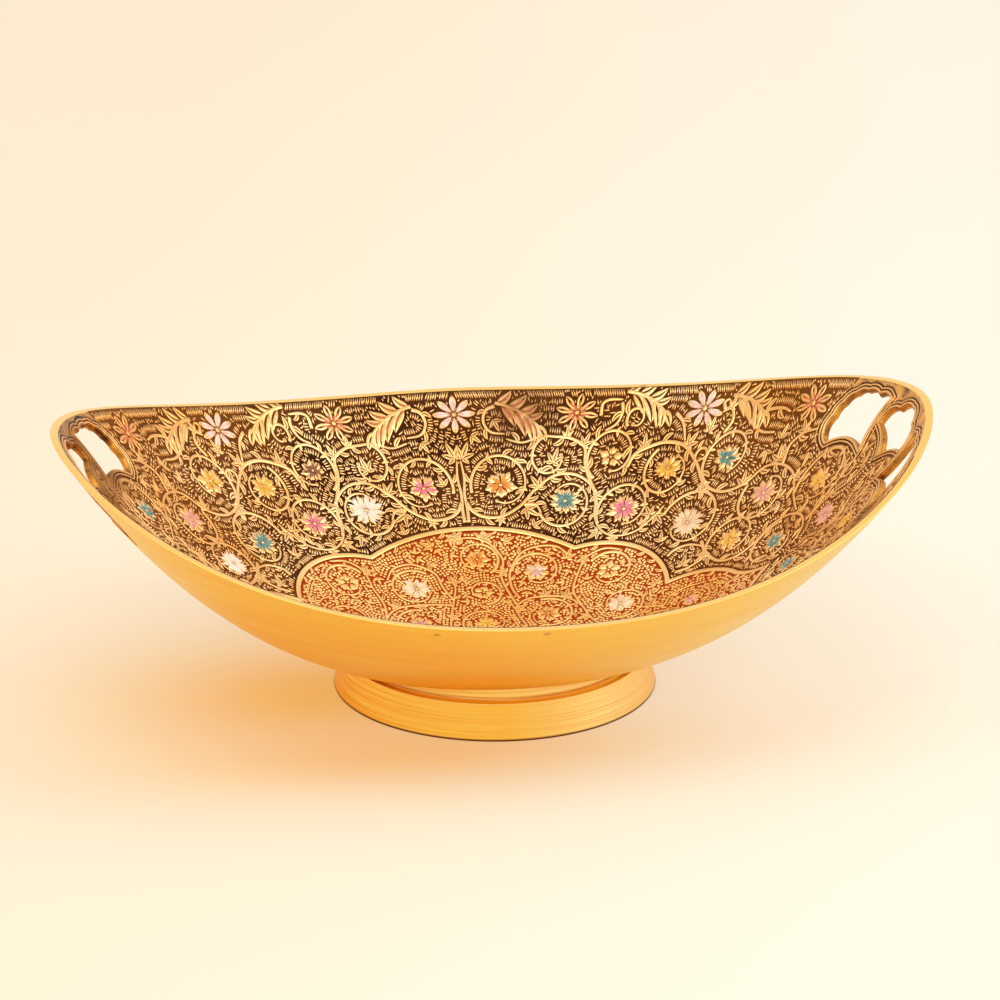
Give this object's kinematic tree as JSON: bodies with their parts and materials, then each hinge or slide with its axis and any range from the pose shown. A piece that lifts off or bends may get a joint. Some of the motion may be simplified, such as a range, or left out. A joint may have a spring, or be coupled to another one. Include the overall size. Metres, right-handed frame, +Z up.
{
  "type": "nut bowl",
  "caption": "Boat-shaped oval brass bowl on a foot ring, with pierced lobed handles at the ends and an engraved, lacquer-filled inside round a lobed medallion.",
  "frame": {"origin": "middle of the foot ring's underside, where the bowl stands", "axes": "+X along the bowl towards one pierced handle, +Y across it, +Z up"},
  "size_m": [0.3, 0.243, 0.0963],
  "materials": {
    "cast_brass": "polished cast brass, hand finished",
    "turned_brass": "fine turning lines",
    "black_lacquer": "satin lacquer between engraved brass",
    "red_lacquer": "satin lacquer between engraved brass",
    "flower_red": "satin lacquer",
    "flower_blush": "satin lacquer"
  },
  "bodies": {
    "root": {"bowl_shell": "cast_brass", "foot_ring": "turned_brass", "black_lacquer_field": "black_lacquer", "red_lacquer_medallion": "red_lacquer", "rim_flower_01": "flower_red", "rim_flower_02": "flower_blush", "rim_flower_03": "flower_red", "rim_flower_04": "flower_blush", "rim_flower_05": "flower_red", "rim_flower_06": "flower_blush", "rim_flower_07": "flower_red", "rim_flower_08": "flower_red", "rim_flower_09": "flower_blush", "rim_flower_10": "flower_red", "rim_flower_11": "flower_blush", "rim_flower_12": "flower_red", "rim_flower_13": "flower_blush", "rim_flower_14": "flower_red"}
  },
  "joints": []
}
